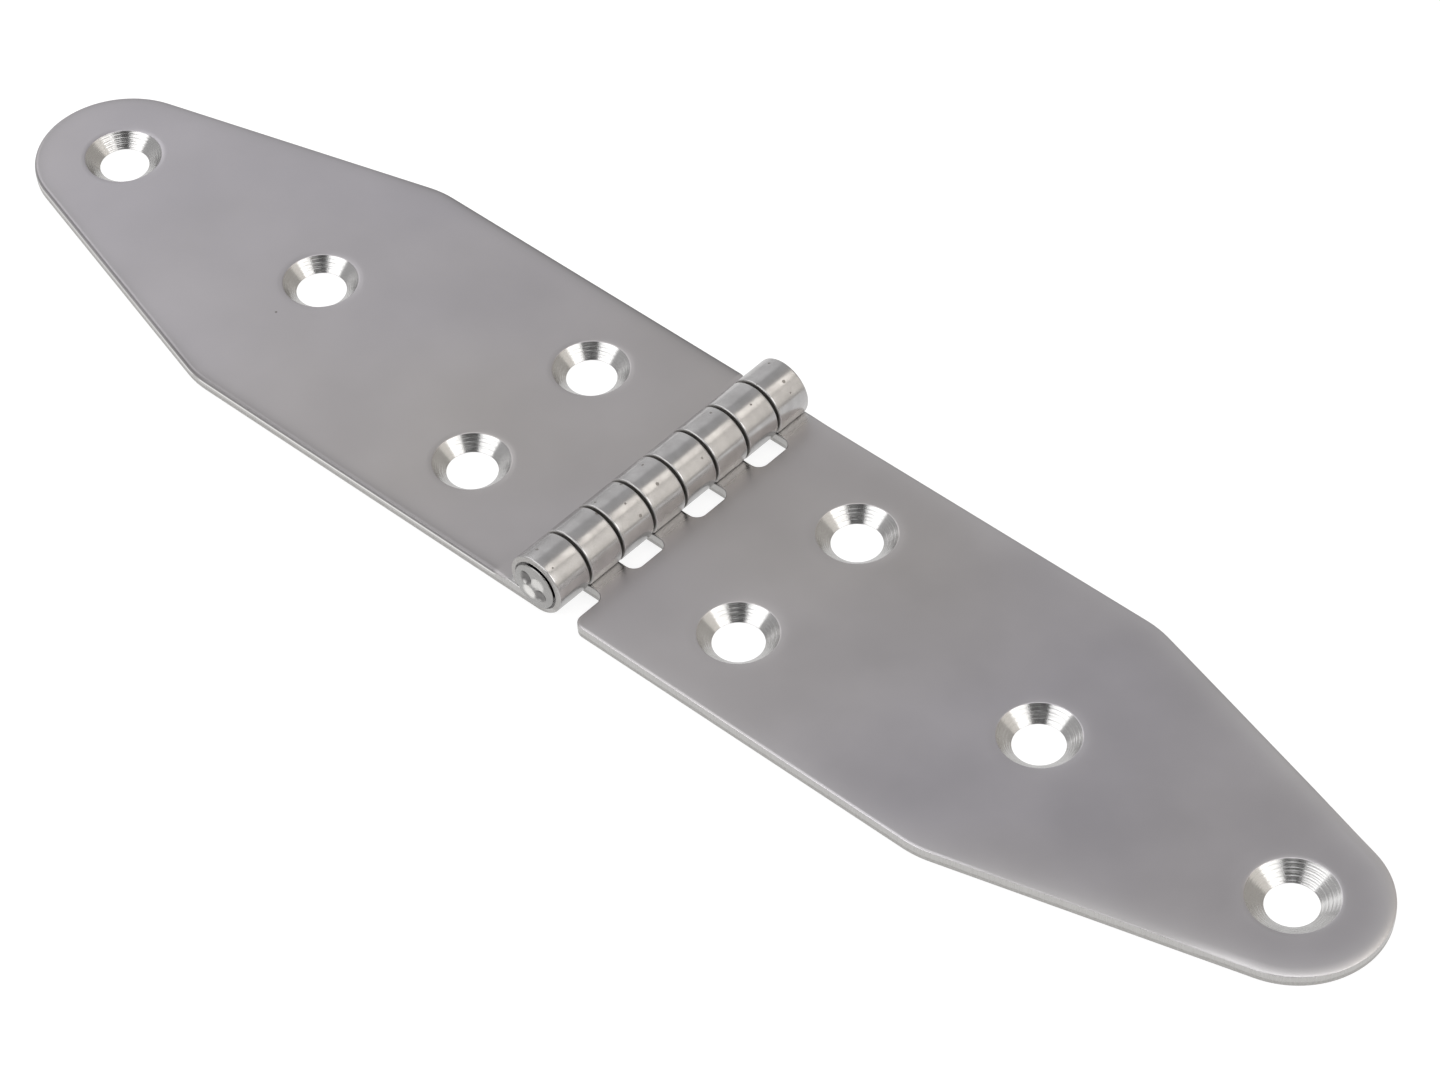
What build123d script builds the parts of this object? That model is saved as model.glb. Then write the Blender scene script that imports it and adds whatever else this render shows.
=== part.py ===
"""Strap hinge of stainless sheet: two alike leaves with rolled knuckles on one riveted pin.

Millimetres. X runs along the leaves, Y along the pin and +Z up. The origin lies on the mounting
plane, under the middle of the pin. The hinge is drawn open flat.
"""

import os
from math import asin, degrees

from build123d import *

# Leaf outline
sheet = 2.0            # thickness of the leaf
leaf_width = 50.0      # along the pin
leaf_reach = 120.0     # from the pin's axis to the leaf's end
straight_reach = 66.0  # from the pin's axis to where the taper starts
end_radius = 13.0      # rounded end of the taper
taper_blend = 15.0     # soft corner where the taper starts
top_break = 0.3        # broken edges of the upper side, which run on round the knuckle bores
under_break = 0.2      # broken edges of the underside, which run on round the knuckle rims

# Screw holes
screw_bore = 7.2       # diameter through the leaf
screw_land = 0.3       # straight bore left under the countersink
screw_angle = 90       # full angle of the countersink
pair_reach = 24.5      # from the pin's axis to the pair of holes beside it
pair_spacing = 24.0    # along the pin
middle_reach = 66.0    # from the pin's axis to the middle hole

# Pin and knuckles
pin_diameter = 5.0
pin_clearance = 0.05   # pin to knuckle bore, on the radius
knuckle_count = 8      # both leaves together
knuckle_gap = 0.35     # between neighbouring knuckles
notch_reach = 6.6      # from the pin's axis to the floor of a notch
notch_round = 1.5      # corners of the notches
seam_gap = 0.2         # between the end of the curl and the leaf that it comes back to

# Riveted ends of the pin
mouth_depth = 1.2      # 45 degree countersink in the outer end of each end knuckle
head_clearance = 0.3   # rivet head to that countersink, on the radius
head_rim = 0.35        # how far the head's rim stands beyond the knuckle
head_crown = 0.7       # how far its middle does
head_break = 0.15      # broken edge of the head
dent_count = 4         # punch marks that spread the head
dent_circle = 1.75     # radius of the circle that they lie on
dent_radius = 0.85     # mouth of a mark, level with the crown
dent_depth = 0.55      # point of a mark below the crown

# Values that follow from these
half_width = leaf_width / 2
pin_radius = pin_diameter / 2
bore_radius = pin_radius + pin_clearance
barrel_radius = bore_radius + sheet
axis_height = barrel_radius
knuckle_length = (leaf_width - (knuckle_count - 1) * knuckle_gap) / knuckle_count
knuckle_pitch = knuckle_length + knuckle_gap
seam_angle = degrees(asin((axis_height - sheet - seam_gap) / barrel_radius))
curl_angle = 270 + seam_angle
end_reach = leaf_reach - end_radius
countersink_radius = screw_bore / 2 + sheet - screw_land
mouth_radius = bore_radius + mouth_depth
head_radius = mouth_radius - head_clearance
neck_reach = half_width - (head_radius - pin_radius)


def at_reach(vertices, reach):
    """The corners of a flat outline that lie at one distance from the pin's axis."""
    return vertices.filter_by_position(Axis.X, reach - 0.01, reach + 0.01)


# Leaf along +X, with every second knuckle, the last of them at the +Y end
with BuildPart() as right_leaf:

    # Bent strip: the flat leaf, then the curl that runs under, round and back over the pin
    with BuildSketch(Plane.XZ):
        with BuildLine():
            Polyline((0, 0), (leaf_reach, 0), (leaf_reach, sheet), (0, sheet))
            inside = CenterArc((0, axis_height), bore_radius, -90, -curl_angle)
            outside = CenterArc((0, axis_height), barrel_radius, -90, -curl_angle)
            Line(inside @ 1, outside @ 1)
        make_face()
    extrude(amount=half_width, both=True)

    # Outline of the blank: straight, tapered, round-ended, notched for the other leaf's knuckles
    with BuildSketch() as blank:
        with Locations((-barrel_radius, 0)):
            Rectangle(straight_reach + barrel_radius, leaf_width, align=(Align.MIN, Align.CENTER))
        with Locations((end_reach, 0)):
            Circle(end_radius)
        make_hull()
        fillet(at_reach(blank.vertices(), straight_reach), taper_blend)
        for knuckle in range(0, knuckle_count, 2):
            with Locations((0, -half_width + knuckle_length / 2 + knuckle * knuckle_pitch)):
                Rectangle(2 * notch_reach, knuckle_length + 2 * knuckle_gap, mode=Mode.SUBTRACT)
        fillet(at_reach(blank.vertices(), notch_reach), notch_round)
    extrude(amount=axis_height + barrel_radius, mode=Mode.INTERSECT)

    # Broken edges, each running on round the curls
    upper_side = right_leaf.faces().filter_by(Axis.Z).sort_by(Axis.Z)[-1]
    chamfer(upper_side.outer_wire().edges().filter_by(Axis.Y, reverse=True), top_break)
    underside = right_leaf.faces().filter_by(Axis.Z).sort_by(Axis.Z)[0]
    chamfer(underside.outer_wire().edges().filter_by(Axis.Y, reverse=True), under_break)

    # Seat of the rivet head in the end knuckle
    with Locations(Location((0, half_width, axis_height), (-90, 0, 0))):
        Cone(
            bore_radius,
            mouth_radius,
            mouth_depth,
            align=(Align.CENTER, Align.CENTER, Align.MAX),
            mode=Mode.SUBTRACT,
        )

    # Countersunk screw holes
    with Locations(Plane.XY.offset(sheet)):
        with Locations(
            (pair_reach, -pair_spacing / 2),
            (pair_reach, pair_spacing / 2),
            (middle_reach, 0),
            (end_reach, 0),
        ):
            CounterSinkHole(screw_bore / 2, countersink_radius, depth=sheet, counter_sink_angle=screw_angle)

# The same leaf turned about, so that its knuckles fill the other's notches
with BuildPart() as left_leaf:
    add(right_leaf.part, rotation=(0, 0, 180))

# Pin, turned about its axis, with a head spread by a punch at each end
with BuildPart() as hinge_pin:
    with BuildSketch(Plane((0, 0, axis_height), x_dir=(0, 1, 0), z_dir=(1, 0, 0))):
        with BuildLine():
            crown = (half_width + head_crown, 0)
            rim = (half_width + head_rim, head_radius - head_break)
            Line((0, 0), crown)
            TangentArc(crown, rim, tangent=(0, 1))
            Polyline(
                rim,
                (half_width + head_rim - head_break, head_radius),
                (half_width, head_radius),
                (neck_reach, pin_radius),
                (0, pin_radius),
                (0, 0),
            )
        make_face()
    revolve(axis=Axis((0, 0, axis_height), (0, 1, 0)))
    with Locations(Plane((0, half_width + head_crown, axis_height), x_dir=(1, 0, 0), z_dir=(0, 1, 0))):
        with PolarLocations(dent_circle, dent_count, start_angle=45):
            Cone(
                0,
                dent_radius,
                dent_depth,
                align=(Align.CENTER, Align.CENTER, Align.MAX),
                mode=Mode.SUBTRACT,
            )
    mirror(about=Plane.XZ)

os.makedirs("parts", exist_ok=True)
right_leaf.part.label = "right_leaf"
left_leaf.part.label = "left_leaf"
hinge_pin.part.label = "hinge_pin"
export_step(right_leaf.part, "parts/right_leaf.step")
export_step(left_leaf.part, "parts/left_leaf.step")
export_step(hinge_pin.part, "parts/hinge_pin.step")
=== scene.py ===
"""Strap hinge of satin stainless sheet, open flat on a white table.

Shapes are worked out in millimetres, and a mesh takes them in metres. X runs along the leaves, Y
along the pin and +Z up. The origin lies on the table, under the middle of the pin.
"""

from functools import partial
from math import asin, atan2, cos, hypot, pi, radians, sin, tan

import bmesh
import bpy
import numpy as np
from mathutils import Matrix, Vector


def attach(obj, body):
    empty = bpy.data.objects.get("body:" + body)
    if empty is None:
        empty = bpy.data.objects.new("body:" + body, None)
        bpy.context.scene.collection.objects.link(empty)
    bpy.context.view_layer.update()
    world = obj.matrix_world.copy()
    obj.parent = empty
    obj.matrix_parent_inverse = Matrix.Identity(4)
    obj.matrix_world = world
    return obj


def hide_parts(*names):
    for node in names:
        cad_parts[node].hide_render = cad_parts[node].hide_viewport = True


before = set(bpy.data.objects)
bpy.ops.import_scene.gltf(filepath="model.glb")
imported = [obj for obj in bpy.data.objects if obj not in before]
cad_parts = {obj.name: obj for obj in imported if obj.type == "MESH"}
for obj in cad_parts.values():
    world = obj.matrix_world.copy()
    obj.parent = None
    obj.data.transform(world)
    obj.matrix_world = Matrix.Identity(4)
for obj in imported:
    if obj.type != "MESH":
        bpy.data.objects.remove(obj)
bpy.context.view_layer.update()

# Meshes: how near points become one, in metres, and from which angle an edge is sharp
MERGE_DISTANCE = 1e-6
SHARP_ANGLE = radians(34)

# Leaf outline
SHEET = 2.0
HALF_WIDTH = 25.0
STRAIGHT_REACH = 66.0
END_REACH = 107.0
END_RADIUS = 13.0
TAPER_BLEND = 15.0
TAPER = atan2(HALF_WIDTH, END_REACH - STRAIGHT_REACH) - asin(
    END_RADIUS / hypot(HALF_WIDTH, END_REACH - STRAIGHT_REACH)
)
BLEND_REACH = STRAIGHT_REACH - TAPER_BLEND * tan(TAPER / 2)

# Knuckles and notches
AXIS = 4.55
BORE = 2.55
KNUCKLES = 8
KNUCKLE_GAP = 0.35
KNUCKLE = (2 * HALF_WIDTH - (KNUCKLES - 1) * KNUCKLE_GAP) / KNUCKLES
PITCH = KNUCKLE + KNUCKLE_GAP
NOTCH_REACH = 6.6
NOTCH_ROUND = 1.5
TAB_REACH = NOTCH_REACH - NOTCH_ROUND
ROOT_REACH = NOTCH_REACH + NOTCH_ROUND

# Curl of a tab: its seam, its whole turn, the last bit of it that is broken, and the shares of the
# sheet's thickness and the tab's width that are left there
SEAM_GAP = 0.05
CURL = radians(270) + asin((AXIS - SHEET - SEAM_GAP) / AXIS)
CURL_BREAK = 0.03
CURL_END_HEIGHT = 0.88
CURL_END_WIDTH = 0.96

# How a curl is out of round: the turn over which that sets in, the roller's strokes in a full turn,
# their depth for the tab's lean, their skew across it, and how far the lean shifts either wave
TUCK_ONSET = 0.6
STROKES = 9
STROKE_SHARE = 0.35
STROKE_SKEW = 0.25
STROKE_SHIFT = 300
LOBE_SHIFT = 40

# Seat of the rivet head in an end tab: its depth, how soft its edge is, and how far that softness
# is followed along the pin and into the sheet
MOUTH_DEPTH = 1.2
MOUTH_SOFTNESS = 0.006
MOUTH_SOFT_LENGTH = 0.3
MOUTH_SOFT_DEPTH = 0.5

# Screw holes
PAIR_REACH = 24.5
PAIR_OFFSET = 12.0
MIDDLE_REACH = STRAIGHT_REACH
HOLE = 3.6
HOLE_LAND = 0.1
HOLE_STEPS = 32
HOLE_CENTRES = (
    (PAIR_REACH, -PAIR_OFFSET),
    (PAIR_REACH, PAIR_OFFSET),
    (MIDDLE_REACH, 0.0),
    (END_REACH, 0.0),
)

# Sheared edge of the sheet, from the upper side to the underside: how far in from the outline, and
# how high. The die draws the upper corner down: to a facet on the right leaf's sides, softly on its
# taper and widely round its end, to a deep roll on the left leaf, and hardly at all in the notches.
# The middle is smooth, the foot torn, and both have the sheared finish.
UPPER_FLAT = 1.4
UNDER_FLAT = 0.35
draw_in = [UPPER_FLAT, 1.2, 1.0, 0.8, 0.6, 0.42, 0.3, 0.22, 0.15, 0.09, 0.05, 0.02, 0.0]
draw_height = [2.0, 2.0, 2.0, 1.999, 1.998, 1.993, 1.983, 1.962, 1.933, 1.9, 1.86, 1.785, 1.6]
soft_height = [2.0, 1.998, 1.993, 1.985, 1.974, 1.962, 1.952, 1.943, 1.932, 1.915, 1.89, 1.84, 1.7]
wide_height = [2.0, 1.993, 1.976, 1.952, 1.922, 1.888, 1.86, 1.838, 1.815, 1.79, 1.765, 1.71, 1.58]
roll_height = [2.0, 2.0, 2.0, 2.0, 1.998, 1.985, 1.955, 1.915, 1.855, 1.765, 1.67, 1.55, 1.36]
crisp_height = [2.0, 2.0, 2.0, 2.0, 2.0, 2.0, 1.999, 1.997, 1.992, 1.979, 1.958, 1.91, 1.74]
foot_in = [0.0, 0.0, 0.012, 0.04, 0.045, 0.05, 0.06, 0.08, 0.115, 0.165, 0.24, UNDER_FLAT]
foot_height = [1.2, 0.95, 0.86, 0.78, 0.7, 0.45, 0.22, 0.12, 0.06, 0.025, 0.006, 0.0]
EDGE_IN = np.array(draw_in + foot_in)
EDGE_HEIGHT = np.array(draw_height + foot_height)
TAPER_HEIGHT = np.array(soft_height + foot_height)
END_HEIGHT = np.array(wide_height + foot_height)
ROLL_HEIGHT = np.array(roll_height + foot_height)
NOTCH_HEIGHT = np.array(crisp_height + foot_height)
WALL_START = len(draw_in) - 2
WALL_END = len(EDGE_IN) - 4

# Lengths over which the corner of a leaf's sides turns into that of its taper, and then of its end
TAPER_ONSET = 12.0
END_ONSET = 9.0

# Countersunk hole: the radii where its turned faces meet the flat sides, how far its rim slopes
# down, laps the cone and softens, and the radii and heights of the short upright land under it
RIM_FLAT = 7.0
FOOT_FLAT = 3.9
RIM_DROP = 0.06
RIM_LAP = 0.05
RIM_SOFTNESS = 0.012
RIM_STEPS = 16
CONE_STEPS = 64
LAND_RADIUS = [HOLE, HOLE, HOLE, HOLE + 0.03, HOLE + 0.1, FOOT_FLAT]
LAND_HEIGHT = [HOLE_LAND, 0.07, 0.04, 0.015, 0.0, 0.0]

# Rings that the countersink leaves: their depth, the turn of their wave down the cone, and how far
# it shifts from hole to hole; how far the coarse ones tilt, and the fine ones swell round a hole
COARSE_DEPTH, COARSE_TURN, COARSE_SHIFT = 0.004, 34, 1.3
FINE_DEPTH, FINE_TURN, FINE_SHIFT = 0.003, 59, 2.1
COARSE_TILT = 0.4
FINE_SWELL = 0.6

# Steps along a tab's flat and round its curl; points across a tab, down the end tab's side, along a
# notch floor and round a notch corner
TAB_STEPS = 8
CURL_STEPS = 86
TAB_POINTS = 7
TAB_SIDE_POINTS = 5
FLOOR_POINTS = 5
CORNER_POINTS = 9

# Rows of the root behind the barrel; points along the strap before its first holes, between holes
# and round its end
ROOT_ROWS = 5
FIRST_POINTS = 8
BETWEEN_POINTS = 14
END_POINTS = 17

# Where the flat's ruled lines have settled behind the barrel, and where the pair's line turns into
# one half-way to the outline
SETTLED_REACH = 17.0
PAIR_LINE_ENDS = 34.0
HALF_LINE_STARTS = 54.0

# A leaf's finishes, in the order of its material slots
SATIN, COUNTERSUNK, SHEARED = range(3)

# Wear and painted sheen of a leaf: the widths over which they fade, in from the outline, a hole's
# rim or a knuckle's end; the share of rub wear and painted sheen at a rim; where they start to
# grow, and over what length; the turn before a seam with scuffing, partly a painted lightening
RUB_SHEEN_WIDTH = 1.8
RIM_RUB_SHEEN_WIDTH = 1.2
BURNISH_WIDTH = 0.35
WORN_WIDTH = 0.2
RIM_RUB_SHEEN_SHARE = 0.4
RUB_SHEEN_GROWS = 60.0
RUB_SHEEN_ONSET = 30.0
SCUFF_SHEEN_TURN = radians(45)

# Painted highlight line under the turned leaf's roll: its height, half its width, and how far in it
# is met
LINE_HEIGHT = 1.4
LINE_HALF_WIDTH = 0.13
LINE_DEPTH = 0.05

# How far a height may be off and still count as the sheet's
HEIGHT_TOLERANCE = 0.001

# Distances from the pin's axis, in metres, between which the curl's polish turns into the flat's
# satin, and the warm grey into the cool one
POLISH_ENDS, SATIN_STARTS = 0.0045, 0.0062
WARM_ENDS, COOL_STARTS = 0.03, 0.065

# Span that most of a noise lies in
NOISE_SPAN = 0.3, 0.7

# Riveted pin
PIN = 2.5
HEAD = 3.45
HEAD_RIM = 0.35
HEAD_CROWN = 0.7
HEAD_BREAK = 0.15
FAR_SWING = 1.1
ROUND_STEPS = 160
DOME_STEPS = 60

# Undercut behind the rivet head's rim: how far in from it, and how far back
UNDERCUT_IN = np.array([0.02, 0.08, 0.2, 0.34, 0.46, 0.6])
UNDERCUT_BACK = np.array([0.05, 0.09, 0.12, 0.16, 0.25, 0.45])

# Rod from the undercut to the pin's middle: its radius, and its reach along Y
ROD_RADIUS = [PIN + 0.04, PIN, PIN, PIN]
ROD_REACH = [HALF_WIDTH - 0.91, HALF_WIDTH - 1.0, 12.0, 0.0]

# Length over which the punch marks fade out at the head's rim, and the reach along Y past which a
# point belongs to a head
PUNCH_FADE = 0.7
HEAD_REACH = HALF_WIDTH - 0.3

# Punch marks on each head: turn in degrees, reach from the middle, width, depth, and painted light,
# up to 1 for a painted highlight and down to -1 for painted shade
PUNCHES = (
    (137, 1.6, 1.1, 0.62, -1.0),
    (47, 1.35, 1.25, 0.48, 0.7),
    (-29, 1.5, 1.1, 0.55, -0.8),
    (-121, 1.45, 1.3, 0.5, 1.0),
)


def grid_faces(rows, columns, closes):
    """Faces between neighbouring rows and columns of a grid; one that closes meets itself again."""
    number = np.arange(rows * columns).reshape(rows, columns)
    if closes:
        number = np.hstack([number, number[:, :1]])
    corners = [number[:-1, :-1], number[1:, :-1], number[1:, 1:], number[:-1, 1:]]
    return np.stack(corners, -1).reshape(-1, 4)


def make_piece(name, patches, caps, finishes, marks):
    """One closed mesh from grids of points that meet along their edges.

    Points that lie together become one, and a flat cap of the last finish closes each ring of
    points in caps. marks gives each point's own values by name.
    """
    points, faces, finish, start = [], [], [], 0
    for grid, kind, closes in patches:
        rows, columns = grid.shape[:2]
        points.append(grid.reshape(-1, 3))
        faces.append(grid_faces(rows, columns, closes) + start)
        finish.append(np.full(len(faces[-1]), kind))
        start += rows * columns
    points = np.concatenate(points + caps)
    cap_ends = start + np.cumsum([0] + [len(ring) for ring in caps])
    cap_faces = [list(range(a, b)) for a, b in zip(cap_ends[:-1], cap_ends[1:])]
    mesh = bpy.data.meshes.new(name)
    mesh.from_pydata(points * 0.001, [], np.concatenate(faces).tolist() + cap_faces)
    finish = np.concatenate(finish + [np.full(len(cap_faces), len(finishes) - 1)])
    mesh.polygons.foreach_set("material_index", finish.astype(np.int32))
    for finish_material in finishes:
        mesh.materials.append(finish_material)
    shell = bmesh.new()
    shell.from_mesh(mesh)
    bmesh.ops.remove_doubles(shell, verts=shell.verts, dist=MERGE_DISTANCE)
    bmesh.ops.recalc_face_normals(shell, faces=shell.faces)
    shell.to_mesh(mesh)
    shell.free()
    mesh.shade_smooth()
    mesh.set_sharp_from_angle(angle=SHARP_ANGLE)
    points = np.empty(3 * len(mesh.vertices))
    mesh.vertices.foreach_get("co", points)
    for mark_name, values in marks(points.reshape(-1, 3) * 1000).items():
        attribute = mesh.attributes.new(mark_name, "FLOAT", "POINT")
        attribute.data.foreach_set("value", values.astype(np.float32))
    made = bpy.data.objects.new(name, mesh)
    bpy.context.scene.collection.objects.link(made)
    return made


def strap_stations():
    """Distances from the pin's axis at which the strap is cut across.

    They crowd as the cosine of an even turn at each hole, and as its sine round the leaf's end.
    """
    across = RIM_FLAT * np.cos(np.linspace(pi, 0, HOLE_STEPS + 1))
    end = END_RADIUS - UPPER_FLAT
    runs = [
        np.linspace(ROOT_REACH, PAIR_REACH - RIM_FLAT, FIRST_POINTS),
        PAIR_REACH + across,
        np.linspace(PAIR_REACH + RIM_FLAT, MIDDLE_REACH - RIM_FLAT, BETWEEN_POINTS),
        MIDDLE_REACH + across,
        np.linspace(MIDDLE_REACH + RIM_FLAT, END_REACH - RIM_FLAT, BETWEEN_POINTS),
        END_REACH + across,
        END_REACH + end * np.sin(np.linspace(asin(RIM_FLAT / end), pi / 2, END_POINTS)),
    ]
    return np.unique(np.round(np.concatenate(runs), 9))


def strap_edge(reach, inset):
    """Half the strap's outline: straight, a soft corner, a taper and a round end, set in evenly.

    The edge of the upper flat is found at each distance, then moved along its own outward turn.
    """
    corner, end = TAPER_BLEND - UPPER_FLAT, END_RADIUS - UPPER_FLAT
    turn = np.maximum(
        np.minimum(np.arcsin(np.clip((reach - BLEND_REACH) / corner, 0, 1)), TAPER),
        np.arcsin(np.clip((reach - END_REACH) / end, -1, 1)),
    )
    taper_start = BLEND_REACH + corner * sin(TAPER)
    taper_end = END_REACH + end * sin(TAPER)
    side = np.select(
        [reach <= BLEND_REACH, reach <= taper_start, reach <= taper_end],
        [
            np.full_like(reach, HALF_WIDTH - UPPER_FLAT),
            HALF_WIDTH - TAPER_BLEND + corner * np.cos(turn),
            end * cos(TAPER) + (taper_end - reach) * tan(TAPER),
        ],
        end * np.cos(turn),
    )
    out = UPPER_FLAT - inset
    return np.stack([reach + out * np.sin(turn), side + out * np.cos(turn)], -1)


def barrel_front():
    """Outline of the leaf's barrel side from -Y to +Y, and where each notch starts and ends in it.

    Each station is a point and the way that it moves for each millimetre of inset: along a notch
    floor, round a notch corner by an even turn, or evenly across a tab.
    """
    turn = np.linspace(0, pi / 2, CORNER_POINTS)
    quarter = np.stack([np.sin(turn), np.cos(turn)], -1)
    places, moves, notches = [], [], []

    def run(place, move):
        skip = 1 if places else 0
        first = sum(len(p) for p in places)
        places.append(place[skip:])
        moves.append(move[skip:])
        return first - skip, first - skip + len(place)

    for k in range(1, KNUCKLES, 2):
        low = -HALF_WIDTH + k * PITCH
        floor_end = low - NOTCH_ROUND
        if k == 1:
            open_centre = np.array([ROOT_REACH, -HALF_WIDTH + NOTCH_ROUND])
            round_off = -quarter[:, ::-1][::-1]
            notch_start, _ = run(open_centre + NOTCH_ROUND * round_off, -round_off)
            floor_start = open_centre[1]
        else:
            centre = np.array([TAB_REACH, low - KNUCKLE - 2 * KNUCKLE_GAP + NOTCH_ROUND])
            way = quarter * [1, -1]
            notch_start, _ = run(centre + NOTCH_ROUND * way, way)
            floor_start = centre[1]
        floor = np.linspace(floor_start, floor_end, FLOOR_POINTS)
        floor = np.stack([np.full(FLOOR_POINTS, NOTCH_REACH), floor], -1)
        run(floor, np.tile([1.0, 0.0], (FLOOR_POINTS, 1)))
        way = quarter[::-1]
        _, notch_end = run(np.array([TAB_REACH, floor_end]) + NOTCH_ROUND * way, way)
        notches.append((notch_start, notch_end))
        share = np.linspace(-1, 1, TAB_POINTS)
        across = low + (1 + share) * KNUCKLE / 2
        across = np.stack([np.full(TAB_POINTS, TAB_REACH), across], -1)
        run(across, np.stack([np.zeros(TAB_POINTS), -share], -1))
    return np.concatenate(places), np.concatenate(moves), notches


def flat_side(height, inset, hole):
    """One flat side of the leaf as ruled grids: the root behind the barrel, then four strips.

    The strips run between the outline, the line of the paired holes and the middle line, and each
    line parts round its holes as the half chord of a circle does.
    """
    place, move, _ = barrel_front()
    front = place + inset * move
    back = np.stack([np.full(len(front), ROOT_REACH), front[:, 1]], -1)
    share = np.linspace(0, 1, ROOT_ROWS)[:, None, None]
    root = front + (back - front) * share

    stations = strap_stations()
    edge = strap_edge(stations, inset)
    tip = END_REACH + END_RADIUS - UPPER_FLAT
    middles = [MIDDLE_REACH, END_REACH]

    def spread(holes):
        """Stations drawn together or apart so that each hole keeps its own."""
        old = np.array([[c - RIM_FLAT, c + RIM_FLAT] for c in holes]).ravel()
        new = np.array([[c - hole, c + hole] for c in holes]).ravel()
        return np.interp(
            stations,
            np.concatenate([[ROOT_REACH], old, [tip]]),
            np.concatenate([[ROOT_REACH], new, [edge[-1, 0]]]),
        )

    def parting(reach, holes):
        """Half chord of the holes at each station."""
        return sum(np.sqrt(np.maximum(hole**2 - (reach - c) ** 2, 0)) for c in holes)

    def ease(low, high):
        """Share from 0 to 1 between two reaches, level at both."""
        run = np.clip((stations - low) / (high - low), 0, 1)
        return run * run * (3 - 2 * run)

    def line(reach, side):
        return np.stack([reach, side], -1)

    middle_reach, pair_reach = spread(middles), spread([PAIR_REACH])
    middle_part, pair_part = parting(middle_reach, middles), parting(pair_reach, [PAIR_REACH])
    start = front[:, 1]
    inner_cuts = [int(np.abs(start - y).argmin()) for y in (-PAIR_OFFSET, 0, PAIR_OFFSET)]
    cuts = [0, *inner_cuts, len(start) - 1]
    settle, narrow = ease(ROOT_REACH, SETTLED_REACH), ease(PAIR_LINE_ENDS, HALF_LINE_STARTS)
    half_way = (edge[:, 1] + middle_part) / 2
    pair_side = PAIR_OFFSET + (half_way - PAIR_OFFSET) * narrow
    low_pair = -pair_side + (start[cuts[1]] + PAIR_OFFSET) * (1 - settle)
    high_pair = pair_side + (start[cuts[3]] - PAIR_OFFSET) * (1 - settle)
    middle = start[cuts[2]] * (1 - settle)

    lines = [
        (edge * [1, -1], line(pair_reach, low_pair - pair_part)),
        (line(pair_reach, low_pair + pair_part), line(middle_reach, middle - middle_part)),
        (line(middle_reach, middle + middle_part), line(pair_reach, high_pair - pair_part)),
        (line(pair_reach, high_pair + pair_part), edge),
    ]
    grids = [root]
    for (low, high), a, b in zip(lines, cuts[:-1], cuts[1:]):
        across = (start[a : b + 1] - start[a]) / (start[b] - start[a])
        grids.append(low[:, None] + (high - low)[:, None] * across[None, :, None])
    return [
        (np.concatenate([g, np.full(g.shape[:2] + (1,), height)], -1), SATIN, False) for g in grids
    ]


def taper_shares(reach):
    """How far, from 0 to 1, each point has come onto the taper, and onto the end."""
    onto_taper = np.clip((reach - STRAIGHT_REACH) / TAPER_ONSET, 0, 1)
    return onto_taper, np.clip((reach - END_REACH) / END_ONSET + 1, 0, 1)


def lift(path, height):
    """Grid from a path in the plane at each inset, with its heights."""
    rows = np.broadcast_to(height[:, :, None], path.shape[:2] + (1,))
    return np.concatenate([path, rows], -1)


def leaf_edges(side_height, taper_height, end_height):
    """Sheared edge carried along the strap's outline, the notches and the end tab's outer side.

    The corner of the leaf's sides turns into that of its taper, and then of its end, along straight
    blends; into the crisp one of the notches over the first rounded corner and the end tab's side.
    """
    place, move, notches = barrel_front()
    stations = strap_stations()
    sides = np.stack([strap_edge(stations, inset) for inset in EDGE_IN])
    front = place + EDGE_IN[:, None, None] * move
    side_shape = len(EDGE_IN), TAB_SIDE_POINTS
    tab_side = np.stack(
        [
            np.broadcast_to(np.linspace(TAB_REACH, ROOT_REACH, TAB_SIDE_POINTS), side_shape),
            np.broadcast_to(HALF_WIDTH - EDGE_IN[:, None], side_shape),
        ],
        -1,
    )
    drawn, crisp = side_height[:, None], NOTCH_HEIGHT[:, None]
    onto_taper, onto_end = taper_shares(stations)
    outer = drawn + (taper_height[:, None] - drawn) * onto_taper
    outer = outer + (end_height - taper_height)[:, None] * onto_end
    paths = [(sides, outer), (sides * [1, -1], outer)]
    paths.append((tab_side, crisp + (drawn - crisp) * np.linspace(0, 1, TAB_SIDE_POINTS)))
    for number, (a, b) in enumerate(notches):
        share = np.ones(b - a)
        if number == 0:
            share = np.clip(np.arange(b - a) / (CORNER_POINTS - 1), 0, 1)
        paths.append((front[:, a:b], drawn + (crisp - drawn) * share))
    bands = [
        (0, WALL_START, SATIN),
        (WALL_START, WALL_END, SHEARED),
        (WALL_END, len(EDGE_IN) - 1, SATIN),
    ]
    return [
        (lift(path, height)[a : b + 1], kind, False)
        for path, height in paths
        for a, b, kind in bands
    ]


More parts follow.
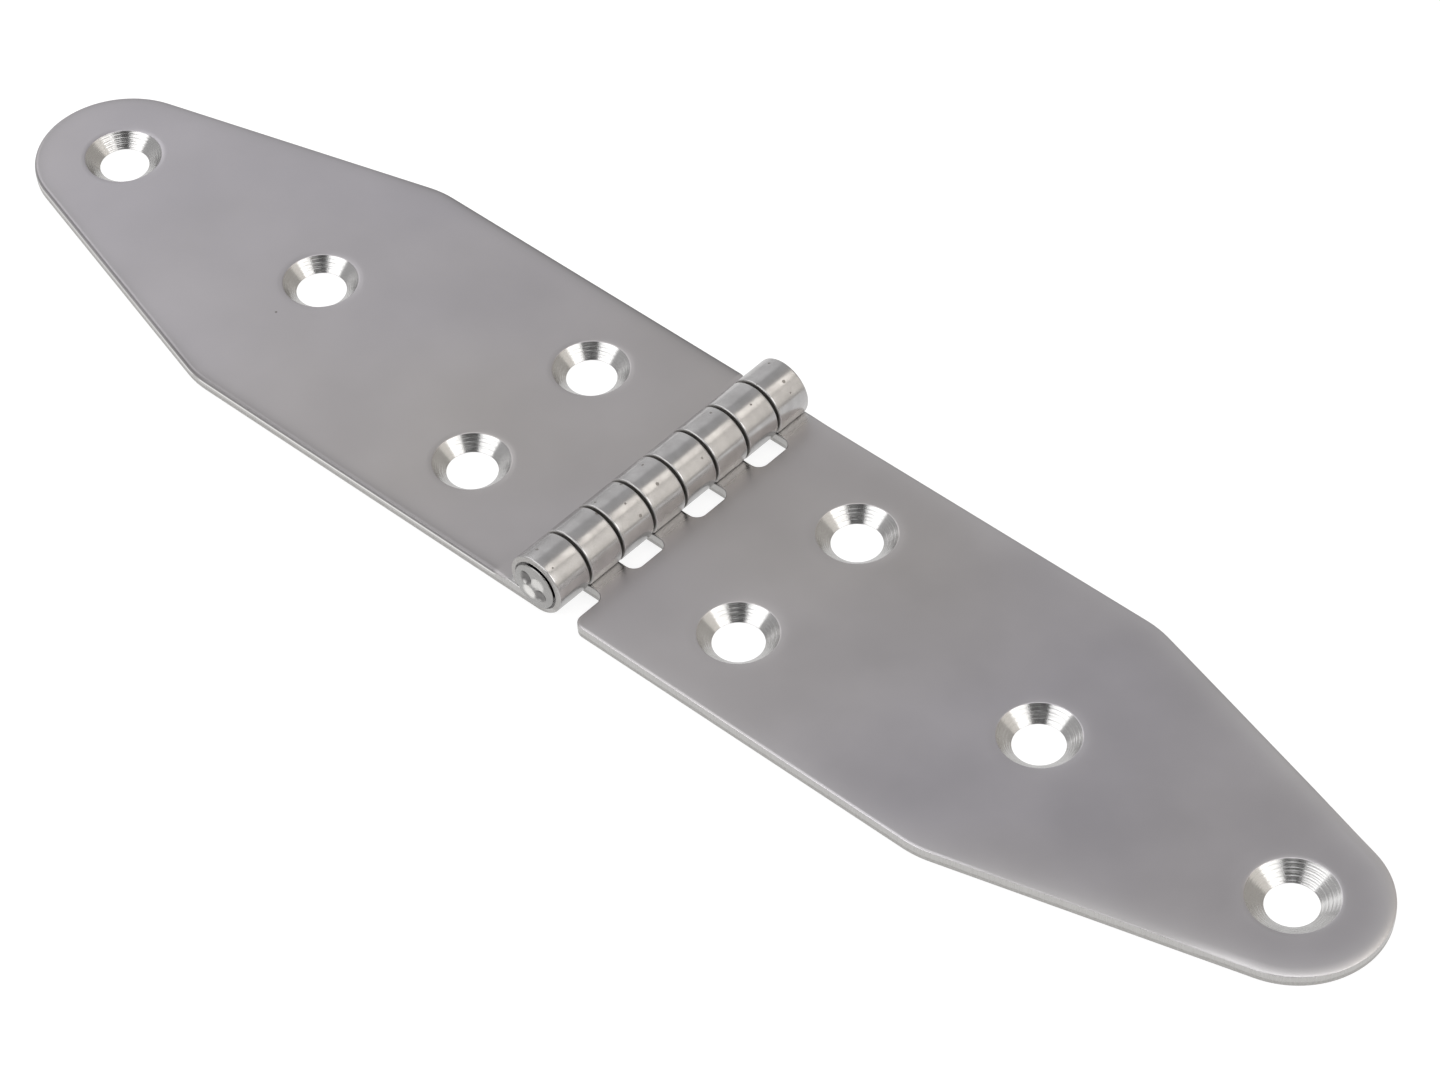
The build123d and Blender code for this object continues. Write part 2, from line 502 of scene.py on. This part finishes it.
def hole_profile(cone_top, rim_out):
    """Radius and height down a countersunk hole whose cone ends at the radius cone_top.

    The height is the soft least of the flat side, a gently sloping rim from there to the radius
    rim_out and a straight cone; a short upright land follows.
    """
    rim_slope = RIM_DROP / (rim_out - cone_top)
    cone_slope = (SHEET - RIM_DROP - HOLE_LAND) / (cone_top - HOLE)
    rim = np.linspace(RIM_FLAT, cone_top - RIM_LAP, RIM_STEPS + 1)
    cone = np.linspace(cone_top - RIM_LAP, HOLE, CONE_STEPS + 1)[1:-1]
    radius = np.concatenate([rim, cone])
    faces = [
        np.full_like(radius, SHEET),
        SHEET - rim_slope * (rim_out - radius),
        HOLE_LAND + cone_slope * (radius - HOLE),
    ]
    shares = sum(np.exp((SHEET - face) / RIM_SOFTNESS) for face in faces)
    height = SHEET - RIM_SOFTNESS * np.log(shares)
    height[0] = SHEET
    return np.concatenate([radius, LAND_RADIUS]), np.concatenate([height, LAND_HEIGHT])


def leaf_holes(cone_tops, rim_out):
    """Countersunk hole profile turned round the axis of each of the four holes.

    The cone keeps the tool's rings, two waves along its slope that swell and fade round the hole.
    """
    turn = np.arange(2 * HOLE_STEPS) * pi / HOLE_STEPS
    ring = np.stack([-np.cos(turn), np.sin(turn)], -1)
    run = np.linspace(0, 1, CONE_STEPS + 1)[1:-1]
    above, below = np.zeros(RIM_STEPS + 1), np.zeros(len(LAND_HEIGHT))
    on_cone = np.concatenate([above, np.sin(pi * run) ** 0.5, below])[:, None]
    slope = np.concatenate([above, run, below])[:, None]
    patches = []
    for number, (centre, cone_top) in enumerate(zip(HOLE_CENTRES, cone_tops)):
        radius, height = hole_profile(cone_top, rim_out)
        coarse = np.sin(COARSE_TURN * slope + COARSE_SHIFT * number + COARSE_TILT * np.sin(turn))
        swell = 1 + FINE_SWELL * np.sin(3 * turn + number)
        fine = np.sin(FINE_TURN * slope + FINE_SHIFT * number) * swell
        rings = (COARSE_DEPTH * coarse + FINE_DEPTH * fine) * on_cone
        flat = np.array(centre) + (radius[:, None] + rings)[:, :, None] * ring
        grid = np.concatenate([flat, (height[:, None] - rings)[:, :, None]], -1)
        patches.append((grid[: RIM_STEPS + 1], SATIN, True))
        patches.append((grid[RIM_STEPS:], COUNTERSUNK, True))
    return patches


def rolled_tab(low, high, ends_barrel, lean):
    """Closed section of a tab, carried under the pin, round it and back to the leaf.

    At a turn b past the lowest point and a height h in the sheet, a point lies at the distance
    axis - h from the pin's axis: x = -(axis - h) sin b, z = axis - (axis - h) cos b. lean draws the
    outer side in by a few hundredths, twice round the curl, and the roller's strokes leave nine
    shallow facets on it. The barrel's end tab is bored out by a cone, so that h there stays softly
    under it. The last section shrinks, which breaks the edges of the curl's end.
    """
    share = np.linspace(-1, 1, TAB_POINTS)
    middle, half = (low + high) / 2, (high - low) / 2
    upper = middle + share * (half - UPPER_FLAT)
    under = middle - share * (half - UNDER_FLAT)
    side = np.concatenate([upper, high - EDGE_IN[1:-1], under, (low + EDGE_IN[1:-1])[::-1]])
    inner = NOTCH_HEIGHT[1:-1]
    upper_height, under_height = np.full(TAB_POINTS, SHEET), np.zeros(TAB_POINTS)
    height = np.concatenate([upper_height, inner, under_height, inner[::-1]])

    straight = np.linspace(TAB_REACH, 0, TAB_STEPS + 1)[:-1]
    turn = np.concatenate([np.linspace(0, CURL - CURL_BREAK, CURL_STEPS), [CURL]])
    tall = np.broadcast_to(height, (len(straight) + len(turn), len(height))).copy()
    wide = np.broadcast_to(side, tall.shape).copy()
    reach = np.concatenate([straight, np.zeros(len(turn))])[:, None]
    if ends_barrel:
        mouth = HALF_WIDTH - MOUTH_DEPTH
        bore = BORE + np.maximum(wide - mouth, 0)
        cone = AXIS - np.sqrt(np.maximum(bore**2 - reach**2, 0))
        gap = cone - tall
        cut = (bore > reach) & (wide > mouth - MOUTH_SOFT_LENGTH) & (gap < MOUTH_SOFT_DEPTH)
        tall = tall + (gap - np.sqrt(gap**2 + MOUTH_SOFTNESS)) / 2 * cut
    tall[-1] = SHEET / 2 + (tall[-1] - SHEET / 2) * CURL_END_HEIGHT
    wide[-1] = middle + (wide[-1] - middle) * CURL_END_WIDTH

    bend = turn[:, None]
    flat_tall, tall = tall[:TAB_STEPS], tall[TAB_STEPS:]
    lobes = 2 * bend + LOBE_SHIFT * lean
    strokes = STROKES * bend + STROKE_SHIFT * lean + STROKE_SKEW * (wide[TAB_STEPS:] - middle)
    tuck = lean * (1 - np.cos(lobes)) + STROKE_SHARE * lean * (1 - np.cos(strokes))
    tuck = tuck * np.clip(1 - tall / SHEET, 0, 1) * np.clip(bend / TUCK_ONSET, 0, 1)
    from_axis = AXIS - tall - tuck
    flat_x = np.broadcast_to(straight[:, None], flat_tall.shape)
    x = np.concatenate([flat_x, -from_axis * np.sin(bend)])
    z = np.concatenate([flat_tall, AXIS - from_axis * np.cos(bend)])
    return np.stack([x, wide, z], -1)


def leaf_parts(turned):
    """Every grid and cap of one leaf; a turned leaf is one after half a turn about +Z.

    The two leaves have their own edges, widths of countersink and strokes of the roller.
    """
    if turned:
        sign = np.array([-1, -1, 1])
        corners = ROLL_HEIGHT, ROLL_HEIGHT, ROLL_HEIGHT
        cone_tops, rim_out = (5.5, 5.5, 5.45, 5.65), 6.1
        leans = (0.012, 0.02, 0.009, 0.016)
    else:
        sign = np.array([1, 1, 1])
        corners = EDGE_HEIGHT, TAPER_HEIGHT, END_HEIGHT
        cone_tops, rim_out = (5.6, 5.65, 5.7, 6.2), 6.6
        leans = (0.018, 0.008, 0.021, 0.011)
    patches = [
        *flat_side(SHEET, UPPER_FLAT, RIM_FLAT),
        *flat_side(0.0, UNDER_FLAT, FOOT_FLAT),
        *leaf_edges(*corners),
        *leaf_holes(cone_tops, rim_out),
    ]
    caps = []
    for k, lean in zip(range(1, KNUCKLES, 2), leans):
        low = -HALF_WIDTH + k * PITCH
        tab = rolled_tab(low, low + KNUCKLE, k == KNUCKLES - 1, lean)
        ring = np.concatenate([tab, tab[:, :1]], axis=1)
        last = tab.shape[1]
        first = TAB_POINTS - 1
        cuts = [0, first + WALL_START, first + WALL_END, last - WALL_END, last - WALL_START, last]
        kinds = (SATIN, SHEARED, SATIN, SHEARED, SATIN)
        for a, b, kind in zip(cuts[:-1], cuts[1:], kinds):
            patches.append((ring[:, a : b + 1], kind, False))
        caps.append(tab[-1] * sign)
    return [(grid * sign, kind, closes) for grid, kind, closes in patches], caps


def fade(distance, width):
    """Share that falls from 1 as the exponential of the distance, to 0.37 at the width."""
    return np.exp(-np.maximum(distance, 0) / width)


def leaf_marks(points, turned):
    """How high in the sheet each point lies, flat or rolled, how its edges wear, and where light is
    painted.

    Rub wear, partly a painted sheen, fades with the distance from the outline or from a hole's rim,
    and is stronger on the leaf that isn't turned, towards its end. A darker band and burnish fade
    within a millimetre of the outline, wear with the distance from the end of a knuckle, and
    scuffing, partly a painted lightening, over the last 45 degrees of the curl before its seam. A
    painted highlight line runs along the turned leaf's edge, under its roll.
    """
    reach, side, height = np.abs(points[:, 0]), np.abs(points[:, 1]), points[:, 2]
    rolled = AXIS - np.hypot(points[:, 0], height - AXIS)
    flat = (height <= SHEET + HEIGHT_TOLERANCE) & (rolled < HEIGHT_TOLERANCE + height)
    past = reach - END_REACH
    round_end = END_RADIUS - np.hypot(past, side)
    taper = END_RADIUS - past * sin(TAPER) - side * cos(TAPER)
    outline = np.minimum(HALF_WIDTH - side, np.where(past > side * tan(TAPER), round_end, taper))
    rims = [np.hypot(reach - x, side - abs(y)) for x, y in HOLE_CENTRES]
    rim = np.min(rims, axis=0) - HOLE - SHEET
    ahead = -points[:, 0] if turned else points[:, 0]
    bend = np.arctan2(-ahead, AXIS - height) % (2 * pi)
    on_curl = (reach < TAB_REACH) & (height > SHEET)
    along = (points[:, 1] + HALF_WIDTH + KNUCKLE_GAP / 2) % PITCH
    knuckle_edge = np.minimum(along, PITCH - along) - KNUCKLE_GAP / 2
    on_strap = (height > SHEET / 2) & (reach > ROOT_REACH)
    onto_taper, onto_end = taper_shares(reach)
    if turned:
        rub_sheen_share, burnish, line = 0.08, 0.0, 1 - 0.5 * onto_taper
        edge_darkness, darkening_width = 1.4 - 0.6 * onto_taper, 0.75
    else:
        rub_sheen_share = 0.45 + 0.85 * np.clip((reach - RUB_SHEEN_GROWS) / RUB_SHEEN_ONSET, 0, 1)
        burnish, line = 0.75 - 1.45 * onto_taper + 0.4 * onto_end, 0.0
        edge_darkness, darkening_width = 0.5 * (onto_taper - onto_end), 0.4
    # Paler edges and rims: partly rub wear, partly a painted sheen
    rub_and_sheen = (fade(outline, RUB_SHEEN_WIDTH) + RIM_RUB_SHEEN_SHARE * fade(rim, RIM_RUB_SHEEN_WIDTH)) * rub_sheen_share
    # A painted highlight line along the edge, on the turned leaf only
    from_line = (height - LINE_HEIGHT) / LINE_HALF_WIDTH
    edge_line_highlight = np.exp(-(from_line**2)) * (outline < LINE_DEPTH) * line
    return {
        "sheet_height": np.where(flat, height, rolled) / SHEET,
        "rub_and_sheen": np.clip(rub_and_sheen, 0, 1) * (height > SHEET / 2),
        "burnished": fade(outline, BURNISH_WIDTH) * on_strap * burnish,
        # A darker band along the outline
        "edge_darkening": np.clip(fade(outline, darkening_width) * edge_darkness, 0, 1) * on_strap,
        "edge_line_highlight": edge_line_highlight * on_strap,
        # Scuffing over the turn before the seam, partly a painted lightening of the knuckle's foot
        "scuff_and_sheen": np.clip((bend - CURL) / SCUFF_SHEEN_TURN + 1, 0, 1) * on_curl,
        "worn": fade(knuckle_edge, WORN_WIDTH) * (reach < TAB_REACH),
    }


def punch_marks(x, z, swing):
    """Depth, and painted highlight and shade, of four overlapping round punch marks on a head.

    Each is a bowl that rises as the square of the distance from its middle. The deepest counts at
    each point, so that sharp ridges stay between them.
    """
    depth, gloss = np.zeros_like(x), np.zeros_like(x)
    for angle, reach, wide, deep, painted_light in PUNCHES:
        a = radians(angle) + swing
        bowl = 1 - ((x - reach * np.cos(a)) ** 2 + (z - reach * np.sin(a)) ** 2) / wide**2
        # gloss here is the painted light of the deepest mark: highlight above 0, shade below
        gloss = np.where(deep * bowl > depth, painted_light * np.clip(2 * bowl, 0, 1), gloss)
        depth = np.maximum(depth, deep * bowl)
    return depth, gloss


def pin_parts():
    """Pin as a profile of reach along Y and radius, turned about the pin's axis.

    Each head is a dome that falls as the square of the radius, less the depth of its punch marks,
    which fades out towards the rim.
    """
    turn = np.arange(ROUND_STEPS) * 2 * pi / ROUND_STEPS
    dome = np.linspace(0, HEAD - HEAD_BREAK, DOME_STEPS)
    rim = HALF_WIDTH + HEAD_RIM
    corner = np.linspace(0, pi / 2, 5)[1:]
    radius = np.concatenate(
        [
            dome,
            HEAD - HEAD_BREAK * (1 - np.sin(corner)),
            HEAD - UNDERCUT_IN,
            ROD_RADIUS,
        ]
    )
    reach = np.concatenate(
        [
            rim + (HEAD_CROWN - HEAD_RIM) * (1 - (dome / (HEAD - HEAD_BREAK)) ** 2),
            rim - HEAD_BREAK * (1 - np.cos(corner)),
            rim - HEAD_BREAK - UNDERCUT_BACK,
            ROD_REACH,
        ]
    )
    patches = []
    for way, swing in ((-1, 0.0), (1, FAR_SWING)):
        x = radius[:, None] * np.cos(turn)
        z = radius[:, None] * np.sin(turn)
        struck = np.clip((HEAD - HEAD_BREAK - radius) / PUNCH_FADE, 0, 1) * (reach > HALF_WIDTH)
        y = reach[:, None] - punch_marks(x, z, swing)[0] * struck[:, None]
        y = np.minimum(y, HALF_WIDTH + HEAD_CROWN)
        patches.append((np.stack([x, way * y, AXIS + z], -1), 0, True))
    return patches


def pin_marks(points):
    """Painted highlight (above 0) and painted shade (below 0) at each point of a head's punch
    marks.
    """
    x, y, z = points[:, 0], points[:, 1], points[:, 2] - AXIS
    gloss = punch_marks(x, z, np.where(y > 0, FAR_SWING, 0.0))[1]
    return {"punch_painted_light": np.where(np.abs(y) > HEAD_REACH, gloss, 0)}


def node(tree, kind, inputs, **settings):
    """A shader node with its settings, and its inputs set or linked."""
    made = tree.nodes.new(kind)
    for name, value in settings.items():
        setattr(made, name, value)
    for name, value in inputs.items():
        if isinstance(value, bpy.types.NodeSocket):
            tree.links.new(value, made.inputs[name])
        else:
            made.inputs[name].default_value = value
    return made


def new_finish(name):
    """Empty node material, with its output and the piece's own coordinates."""
    material = bpy.data.materials.new(name)
    material.use_nodes = True
    tree = material.node_tree
    tree.nodes.clear()
    output = tree.nodes.new("ShaderNodeOutputMaterial")
    coordinates = tree.nodes.new("ShaderNodeTexCoord").outputs["Object"]
    return material, tree, output, coordinates


def noise(tree, where, scale, detail=2.0, roughness=0.5):
    """Noise from 0 to 1, with scale in repeats to the metre."""
    made = node(
        tree,
        "ShaderNodeTexNoise",
        {"Vector": where, "Scale": scale, "Detail": detail, "Roughness": roughness},
    )
    return made.outputs["Fac"]


def remap(tree, value, low, high, out_low, out_high, kind="LINEAR"):
    """Value carried from one range to another and held there."""
    made = node(
        tree,
        "ShaderNodeMapRange",
        {"Value": value, "From Min": low, "From Max": high, "To Min": out_low, "To Max": out_high},
        interpolation_type=kind,
    )
    return made.outputs["Result"]


def vary(tree, value, low, high):
    """Noise carried to a range."""
    return remap(tree, value, *NOISE_SPAN, low, high)


def maths(tree, operation, first, second):
    """One step of arithmetic on two values."""
    return node(tree, "ShaderNodeMath", {0: first, 1: second}, operation=operation).outputs[0]


def plus(tree, first, second):
    """Two values added."""
    return maths(tree, "ADD", first, second)


def times(tree, first, second):
    """Two values multiplied."""
    return maths(tree, "MULTIPLY", first, second)


def blend_colours(tree, share, first, second):
    """Colour between two, by share."""
    ends = [c if isinstance(c, bpy.types.NodeSocket) else (*c, 1) for c in (first, second)]
    made = node(tree, "ShaderNodeMix", {0: share, 6: ends[0], 7: ends[1]}, data_type="RGBA")
    return made.outputs[2]


def mark(tree, name):
    """A piece's own value at each point."""
    return node(tree, "ShaderNodeAttribute", {}, attribute_name=name).outputs["Fac"]


def bare_steel(tree, output, tone, rough, relief, **sockets):
    """Bare metal, with a relief of height, strength and depth in metres, and any other sockets."""
    height, strength, depth = relief
    bump = node(tree, "ShaderNodeBump", {"Height": height, "Strength": strength, "Distance": depth})
    sockets |= {"Base Color": tone, "Metallic": 1.0, "Roughness": rough, "Normal": bump.outputs[0]}
    steel = node(tree, "ShaderNodeBsdfPrincipled", sockets)
    tree.links.new(steel.outputs[0], output.inputs["Surface"])


def satin_sheet():
    """Tumbled stainless sheet: grain and cloudy gloss on the flats, pits and polish on the curl.

    The flats are a warmer grey near the barrel and a cooler one towards the ends. Edges are paler
    with rub wear, partly a painted sheen, darker in a band along the outline, and glossier where
    burnished.
    """
    material, tree, output, where = new_finish("satin_sheet")
    apart = node(tree, "ShaderNodeSeparateXYZ", {"Vector": where})
    reach = maths(tree, "ABSOLUTE", apart.outputs["X"], 0.0)
    curl = remap(tree, reach, POLISH_ENDS, SATIN_STARTS, 1.0, 0.0, "SMOOTHSTEP")
    grain = noise(tree, where, 3200, 3.0, 0.6)
    cloud = noise(tree, where, 60, 3.0)
    tint = noise(tree, where, 24, 1.0)
    smear = noise(tree, where, 420, 2.0)
    rub_and_sheen, burnished, edge_darkening = mark(tree, "rub_and_sheen"), mark(tree, "burnished"), mark(tree, "edge_darkening")
    scuff_and_sheen, worn = mark(tree, "scuff_and_sheen"), mark(tree, "worn")

    cells = node(tree, "ShaderNodeTexVoronoi", {"Vector": where, "Scale": 620.0}, feature="F1")
    pick = node(tree, "ShaderNodeSeparateColor", {"Color": cells.outputs["Color"]})
    how_many = remap(tree, curl, 0, 1, 0.004, 0.45)
    picked = maths(tree, "LESS_THAN", pick.outputs["Red"], how_many)
    pit_size = remap(tree, pick.outputs["Green"], 0.0, 1.0, 0.06, 0.17)
    near = maths(tree, "LESS_THAN", cells.outputs["Distance"], pit_size)
    pits = times(tree, near, picked)

    cloud_gloss = vary(tree, cloud, 0.33, 0.39)
    satin = plus(tree, cloud_gloss, vary(tree, grain, -0.02, 0.02))
    polished = vary(tree, smear, 0.17, 0.24)
    gloss = node(tree, "ShaderNodeMix", {0: curl, 2: satin, 3: polished}, data_type="FLOAT")
    rough = gloss.outputs[0]
    for place, change in ((pits, 0.15), (worn, 0.22), (burnished, -0.14), (scuff_and_sheen, 0.2)):
        rough = plus(tree, rough, times(tree, place, change))

    cloudy = vary(tree, cloud, 0.0, 1.0)
    warm = blend_colours(tree, cloudy, (0.437, 0.417, 0.414), (0.471, 0.451, 0.449))
    cool = blend_colours(tree, cloudy, (0.431, 0.415, 0.44), (0.469, 0.452, 0.478))
    outward = remap(tree, reach, WARM_ENDS, COOL_STARTS, 0.1, 0.8)
    coolness = plus(tree, outward, remap(tree, tint, 0.35, 0.65, -0.2, 0.3))
    tone = blend_colours(tree, coolness, warm, cool)
    # Paler towards edges and hole rims: partly rub wear, partly a painted sheen
    tone = blend_colours(tree, times(tree, rub_and_sheen, 0.9), tone, (0.66, 0.645, 0.65))
    # Darker in a band along the outline
    tone = blend_colours(tree, edge_darkening, tone, (0.28, 0.269, 0.273))
    smeared = remap(tree, smear, 0.35, 0.7, 0.0, 1.0)
    rolled = blend_colours(tree, smeared, (0.527, 0.52, 0.52), (0.446, 0.438, 0.437))
    tone = blend_colours(tree, curl, tone, rolled)
    tone = blend_colours(tree, times(tree, worn, 0.4), tone, (0.588, 0.58, 0.578))
    # Paler over the knuckle's foot before a seam: partly scuffing, partly a painted lightening
    tone = blend_colours(tree, times(tree, scuff_and_sheen, 0.7), tone, (0.788, 0.775, 0.768))
    tone = blend_colours(tree, times(tree, pits, 0.7), tone, (0.17, 0.155, 0.14))

    grained = times(tree, grain, remap(tree, curl, 0, 1, 1.0, 0.35))
    height = maths(tree, "SUBTRACT", grained, pits)
    bare_steel(tree, output, tone, rough, (height, 0.6, 0.000006))
    return material


def cut_countersink():
    """Bright turned steel of the countersinks, with the tool's fine lines left on it."""
    material, tree, output, where = new_finish("cut_countersink")
    apart = node(tree, "ShaderNodeSeparateXYZ", {"Vector": where})
    level = node(tree, "ShaderNodeCombineXYZ", {"Z": apart.outputs["Z"]})
    lines = noise(tree, level.outputs[0], 9000, 2.0)
    chatter = noise(tree, where, 900, 2.0)
    rough = vary(tree, chatter, 0.21, 0.27)
    up = node(
        tree,
        "ShaderNodeVectorTransform",
        {"Vector": (0, 0, 1)},
        vector_type="NORMAL",
        convert_from="OBJECT",
        convert_to="WORLD",
    )
    tone = blend_colours(tree, lines, (0.5, 0.495, 0.49), (0.62, 0.615, 0.61))
    relief = (lines, 0.5, 0.000005)
    bare_steel(tree, output, tone, rough, relief, Anisotropic=0.8, Tangent=up.outputs[0])
    return material


def sheared_edge():
    """Blanked edge: a band burnished by the die, drawn upright, over a torn and duller foot, with a
    painted highlight line.
    """
    material, tree, output, where = new_finish("sheared_edge")
    upright = node(tree, "ShaderNodeMapping", {"Vector": where, "Scale": (1.0, 1.0, 0.06)})
    scores = noise(tree, upright.outputs[0], 4200, 2.0)
    crumbs = noise(tree, where, 3800, 3.0, 0.65)
    ragged = vary(tree, noise(tree, where, 500, 1.0), -0.06, 0.06)
    torn = remap(tree, plus(tree, mark(tree, "sheet_height"), ragged), 0.38, 0.46, 1.0, 0.0)
    rough = plus(tree, vary(tree, scores, 0.24, 0.36), times(tree, torn, 0.14))
    tone = blend_colours(tree, scores, (0.48, 0.471, 0.46), (0.6, 0.592, 0.58))
    torn_share = times(tree, torn, remap(tree, crumbs, 0.35, 0.65, 0.75, 0.2))
    tone = blend_colours(tree, torn_share, tone, (0.37, 0.358, 0.345))
    # Painted highlight line along the turned leaf's edge
    tone = blend_colours(tree, mark(tree, "edge_line_highlight"), tone, (0.95, 0.94, 0.925))
    height = plus(tree, times(tree, scores, 0.5), times(tree, crumbs, torn))
    bare_steel(tree, output, tone, rough, (height, 0.7, 0.00002))
    return material


def riveted_rod():
    """Pin steel, bruised by the punch: smeared gloss on the head; its marks carry painted shade,
    also rougher, or a painted highlight.
    """
    material, tree, output, where = new_finish("riveted_rod")
    gloss = mark(tree, "punch_painted_light")
    rough_painted_shade = remap(tree, gloss, -1.0, 0.0, 1.0, 0.0)
    painted_highlight = remap(tree, gloss, 0.0, 1.0, 0.0, 1.0)
    smear = noise(tree, where, 900, 3.0, 0.6)
    grain = noise(tree, where, 5200, 2.0)
    rough = plus(tree, vary(tree, smear, 0.2, 0.32), times(tree, rough_painted_shade, 0.1))
    tone = blend_colours(tree, smear, (0.34, 0.335, 0.33), (0.45, 0.445, 0.435))
    # Painted shade on some punch marks, painted highlight on the others
    tone = blend_colours(tree, times(tree, rough_painted_shade, 0.8), tone, (0.15, 0.145, 0.145))
    tone = blend_colours(tree, painted_highlight, tone, (0.86, 0.85, 0.83))
    height = plus(tree, times(tree, grain, 0.15), smear)
    bare_steel(tree, output, tone, rough, (height, 0.6, 0.00006))
    return material


sheet_finishes = [satin_sheet(), cut_countersink(), sheared_edge()]
for name, body, turned in (("right_strap", "right", False), ("left_strap", "left", True)):
    patches, caps = leaf_parts(turned)
    strap = make_piece(name, patches, caps, sheet_finishes, partial(leaf_marks, turned=turned))
    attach(strap, body)
    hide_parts(f"{body}_leaf")

rivet_pin = make_piece("rivet_pin", pin_parts(), [], [riveted_rod()], pin_marks)
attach(rivet_pin, "left")
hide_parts("hinge_pin")


# Stage, in metres, and the light from the right back
TABLE_RADIUS = 4.0
TABLE_DROP = 0.0001
TABLE_SIDES = 96
WARM_LIGHT = (1.0, 0.955, 0.89)


def white_table():
    """Round white table top, clear from below, with soft shade where the hinge keeps the light off.

    It lies a hair under the hinge, so that the two faces don't fight.
    """
    material, tree, output, _ = new_finish("white_table")
    path = tree.nodes.new("ShaderNodeLightPath").outputs
    seen = maths(tree, "MAXIMUM", path["Is Camera Ray"], path["Is Transmission Ray"])
    seen = times(tree, seen, 0.82)
    mirrored = times(tree, path["Is Glossy Ray"], 0.62)
    paint = node(tree, "ShaderNodeBsdfDiffuse", {"Color": (0.32, 0.32, 0.32, 1)})
    glow = node(tree, "ShaderNodeEmission", {"Strength": maths(tree, "MAXIMUM", seen, mirrored)})
    both = node(tree, "ShaderNodeAddShader", {0: paint.outputs[0], 1: glow.outputs[0]})
    under = tree.nodes.new("ShaderNodeNewGeometry").outputs["Backfacing"]
    clear = tree.nodes.new("ShaderNodeBsdfTransparent").outputs[0]
    top = node(tree, "ShaderNodeMixShader", {0: under, 1: both.outputs[0], 2: clear})
    tree.links.new(top.outputs[0], output.inputs["Surface"])

    turn = np.arange(TABLE_SIDES) * 2 * pi / TABLE_SIDES
    level = np.full(TABLE_SIDES, -TABLE_DROP)
    rim = np.stack([TABLE_RADIUS * np.cos(turn), TABLE_RADIUS * np.sin(turn), level], -1)
    mesh = bpy.data.meshes.new("table")
    mesh.from_pydata(rim, [], [list(range(TABLE_SIDES))])
    mesh.materials.append(material)
    table = bpy.data.objects.new("table", mesh)
    bpy.context.scene.collection.objects.link(table)


def softbox(name, turn, rise, distance, size, radiance, colour=(1.0, 1.0, 1.0)):
    """Evenly lit panel that faces the hinge; its power is 4 times radiance times area.

    It stands at a turn from +X towards +Y and a rise above the table, both in degrees.
    """
    lamp = bpy.data.lights.new(name, "AREA")
    lamp.shape = "RECTANGLE"
    lamp.size, lamp.size_y = size
    lamp.energy = radiance * 4 * size[0] * size[1]
    lamp.color = colour
    panel = bpy.data.objects.new(name, lamp)
    turn, rise = radians(turn), radians(rise)
    way = Vector((cos(turn) * cos(rise), sin(turn) * cos(rise), sin(rise)))
    panel.location = way * distance
    panel.rotation_euler = way.to_track_quat("Z", "Y").to_euler()
    panel.visible_camera = False
    bpy.context.scene.collection.objects.link(panel)


def studio_room():
    """Pale tent of light, warmer at the right back, with a dark opening on the camera's side."""
    world = bpy.data.worlds.new("studio_room")
    world.use_nodes = True
    tree = world.node_tree
    tree.nodes.clear()
    output = tree.nodes.new("ShaderNodeOutputWorld")
    way = tree.nodes.new("ShaderNodeTexCoord").outputs["Generated"]

    def towards(aim):
        """Cosine of the angle from an aim."""
        made = node(tree, "ShaderNodeVectorMath", {0: way, 1: aim}, operation="DOT_PRODUCT")
        return made.outputs["Value"]

    opening = towards((0.413, -0.438, 0.799))
    wall = remap(tree, opening, cos(radians(28)), cos(radians(18)), 0.52, 0.07, "SMOOTHSTEP")
    warm = remap(tree, towards((0.8, 0.6, 0.0)), 0.15, 0.6, 0.0, 1.0, "SMOOTHSTEP")
    cloth = blend_colours(tree, warm, (1.0, 0.995, 1.0), WARM_LIGHT)
    sky = node(tree, "ShaderNodeBackground", {"Color": cloth, "Strength": wall})
    tree.links.new(sky.outputs[0], output.inputs["Surface"])
    bpy.context.scene.world = world


def photo_camera():
    """Camera as it stood for the photograph: turned, raised and rolled about the hinge's origin.

    Its focal length is fitted in pixels of the picture's width, and its place in metres.
    """
    turn, rise, roll = radians(43.3155), radians(46.2015), radians(-1.8891)
    focal, picture_width = 4812.12, 1440
    shift_right, shift_up, distance = 0.007725, -0.00451, 0.655
    back = Vector((sin(turn) * cos(rise), -cos(turn) * cos(rise), sin(rise)))
    right = Vector((cos(turn), sin(turn), 0))
    up = back.cross(right)
    right, up = cos(roll) * right + sin(roll) * up, cos(roll) * up - sin(roll) * right
    lens = bpy.data.cameras.new("camera")
    lens.sensor_width = 36.0
    lens.lens = lens.sensor_width * focal / picture_width
    lens.clip_start, lens.clip_end = 0.01, 50.0
    camera = bpy.data.objects.new("camera", lens)
    place = Matrix((right, up, back)).transposed().to_4x4()
    place.translation = shift_right * right + shift_up * up + distance * back
    camera.matrix_world = place
    bpy.context.scene.collection.objects.link(camera)
    bpy.context.scene.camera = camera


white_table()
studio_room()
softbox("right_panel", 6, 39, 1.2, (0.72, 0.66), 1.5)
softbox("right_back_panel", 33, 27, 1.3, (0.72, 0.92), 0.395, WARM_LIGHT)
softbox("right_back_strip", 60.5, 55, 1.25, (0.43, 0.38), 0.885, WARM_LIGHT)
softbox("left_panel", -105, 36, 1.2, (1.0, 0.7), 1.5)
softbox("top_panel", -165, 68, 1.2, (0.75, 0.7), 0.65)
softbox("zenith_panel", -12, 78, 1.2, (0.5, 0.5), 1.4)
softbox("back_left_panel", 141, 24, 1.4, (0.5, 1.25), 0.2)
softbox("left_back_panel", 169, 33, 1.3, (0.58, 0.9), 0.75)
photo_camera()

bpy.context.scene.view_settings.view_transform = "Standard"
